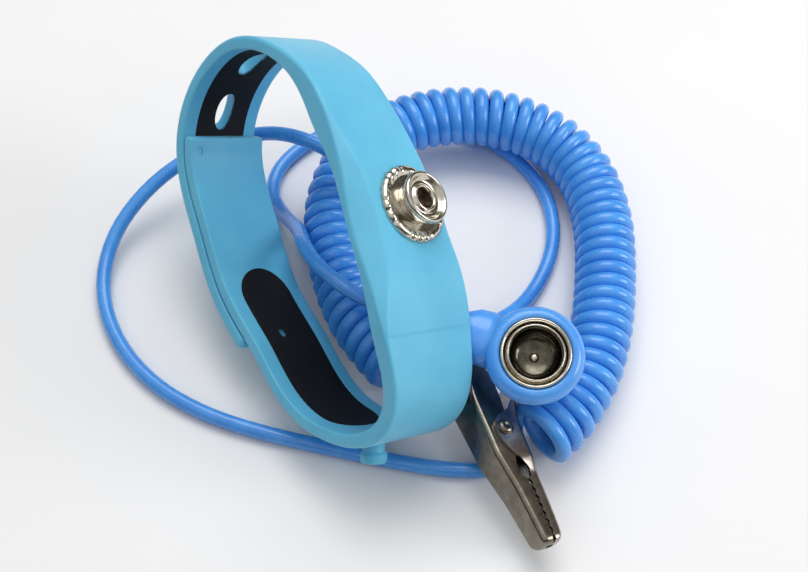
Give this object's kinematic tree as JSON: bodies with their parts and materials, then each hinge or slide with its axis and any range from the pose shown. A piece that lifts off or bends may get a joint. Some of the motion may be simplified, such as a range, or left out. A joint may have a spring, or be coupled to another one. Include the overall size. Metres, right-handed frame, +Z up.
{
  "type": "ESD wrist strap",
  "caption": "Silicone wrist loop with a press stud, and its curly grounding cord with a snap housing and a crocodile clip.",
  "frame": {"origin": "bottom centre of the wrist band, on the surface that it lies on", "axes": "+Z up; +Y along the loop, towards its raised end; +X to the side that carries the cord"},
  "size_m": [0.0846, 0.0826, 0.0428],
  "materials": {
    "blue_silicone": "satin",
    "black_conductive": "matte",
    "plated_steel": "polished",
    "blue_pvc": "gloss",
    "ceramic": "matte"
  },
  "bodies": {
    "root": {"band_body": "blue_silicone", "holed_strap": "blue_silicone", "free_peg": "blue_silicone", "strap_lining": "black_conductive", "wrist_pad": "black_conductive", "stud_flange": "plated_steel", "stud_post": "plated_steel", "stud_rivet": "plated_steel", "wrist_plate": "plated_steel", "socket_cup": "plated_steel", "socket_spring_ring": "plated_steel", "socket_nub": "plated_steel", "solder_tag": "plated_steel", "clip_fixed_jaw": "plated_steel", "clip_pivot_pin": "plated_steel", "clip_crimp": "plated_steel", "clip_spring": "plated_steel", "housing_upper": "blue_pvc", "housing_lower": "blue_pvc", "cord_snap_tail": "blue_pvc", "cord_coil": "blue_pvc", "cord_lead": "blue_pvc", "safety_resistor": "ceramic"},
    "strap_end_body": {"strap_end": "blue_silicone", "fastened_peg": "blue_silicone"},
    "clip_jaw_body": {"clip_moving_jaw": "plated_steel"}
  },
  "joints": [
    {"name": "strap_end_flex", "type": "hinge", "parent": "root", "child": "strap_end_body", "pos_m": [-0.00936, 0.00234, 0.00945], "axis": [0.6899, 0.4789, -0.5429], "range_deg": [0, 30], "stiffness_Nm_per_rad": 0.002, "springref_deg": -8.59},
    {"name": "clip_jaw_hinge", "type": "hinge", "parent": "root", "child": "clip_jaw_body", "pos_m": [0.02594, -0.02576, 0.0074], "axis": [0.4059, -0.011, 0.9138], "range_deg": [0, 16], "stiffness_Nm_per_rad": 0.002, "springref_deg": -0.57}
  ]
}
